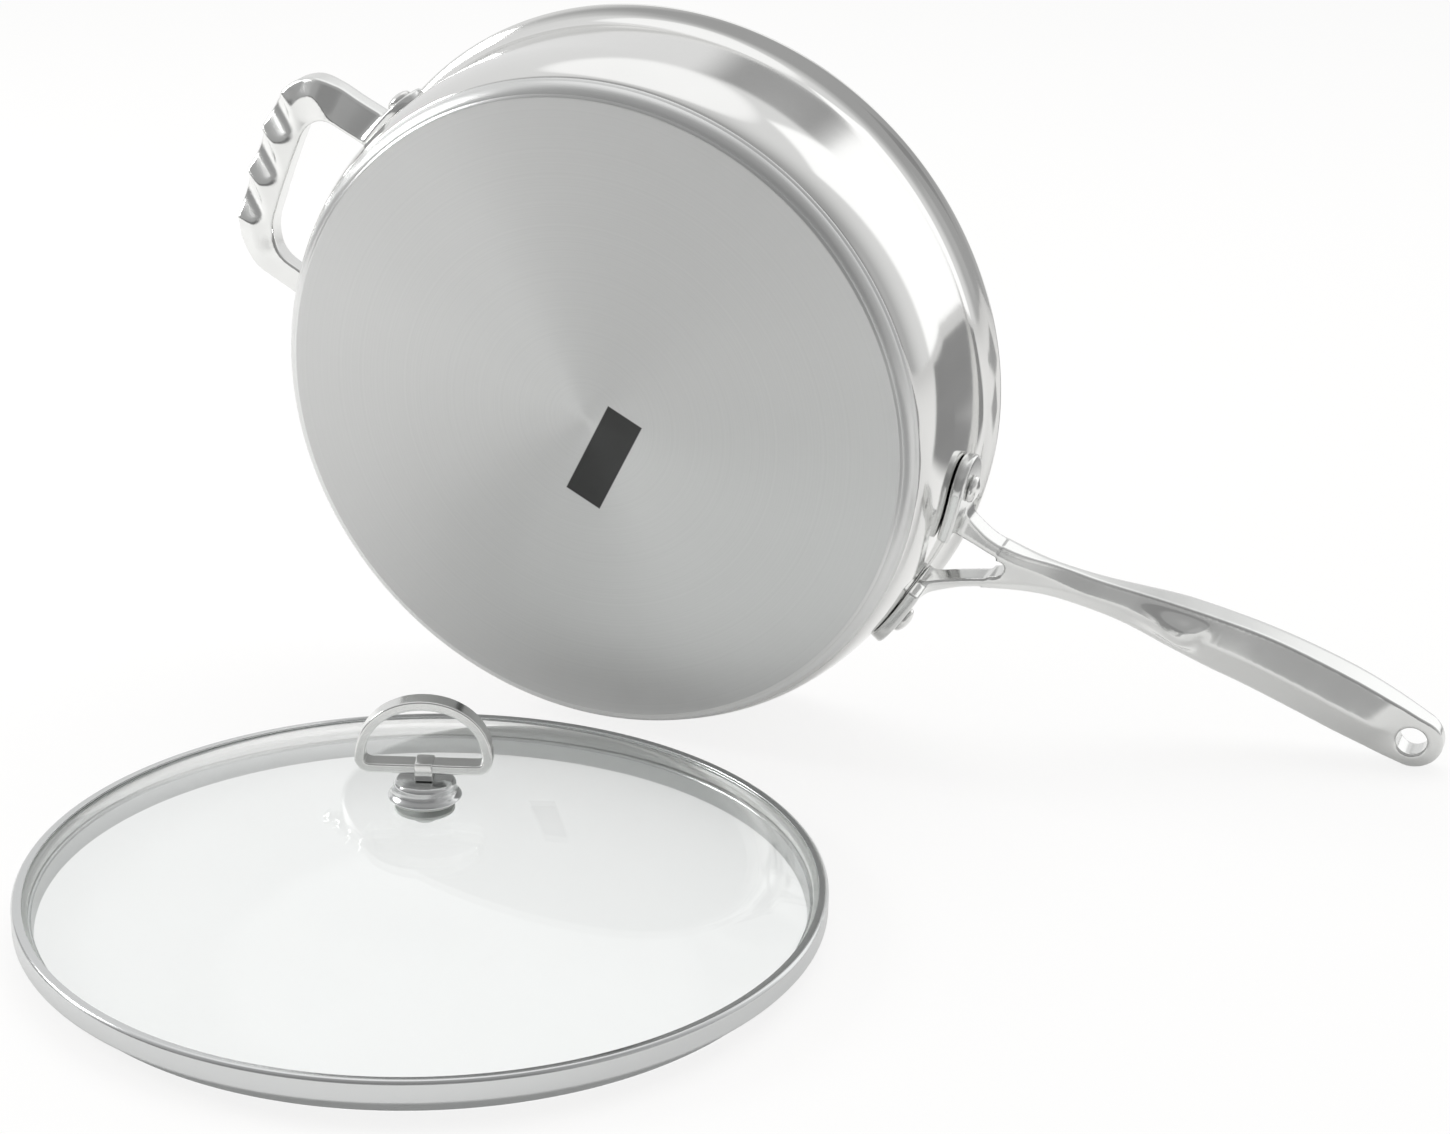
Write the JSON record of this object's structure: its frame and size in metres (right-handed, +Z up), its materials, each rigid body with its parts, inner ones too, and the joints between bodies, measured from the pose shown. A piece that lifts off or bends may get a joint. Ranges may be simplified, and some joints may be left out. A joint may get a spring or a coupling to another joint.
{
  "type": "saute pan with glass lid",
  "caption": "Straight-sided stainless steel saute pan lying on its side with a forked long handle and a scalloped helper handle, and its domed glass lid with a loop knob on the floor in front.",
  "frame": {"origin": "floor point below the middle of the box round pan and lid, as pictured", "axes": "+X to the right of the picture, along the long handle side; +Y away from the camera; +Z up from the floor"},
  "size_m": [0.5448, 0.4208, 0.2924],
  "materials": {
    "polished_steel": "mirror polished stainless steel",
    "brushed_steel": "satin, brushed in circles",
    "cast_steel": "polished cast stainless steel",
    "band_steel": "bright rolled stainless steel",
    "aluminium": "plain, hidden in the base",
    "clear_glass": "clear tempered glass",
    "silicone": "matt translucent silicone"
  },
  "bodies": {
    "pan": {"pan_body": "polished_steel", "base_core": "aluminium", "base_cap": "brushed_steel", "long_handle": "cast_steel", "helper_handle": "cast_steel", "long_handle_rivet_upper": "polished_steel", "long_handle_rivet_lower": "polished_steel", "helper_handle_rivet_upper": "polished_steel", "helper_handle_rivet_lower": "polished_steel"},
    "lid": {"lid_glass": "clear_glass", "lid_rim": "band_steel", "lid_gasket": "silicone", "knob_loop": "cast_steel", "knob_ferrule": "band_steel", "knob_upper_washer": "silicone", "knob_lower_washer": "silicone", "knob_steel_washer": "band_steel", "knob_screw": "band_steel"}
  },
  "joints": [
    {"name": "lid_lift", "type": "slide", "parent": "pan", "child": "lid", "axis": [0, 0, 1], "range_m": [0, 0.3]}
  ]
}
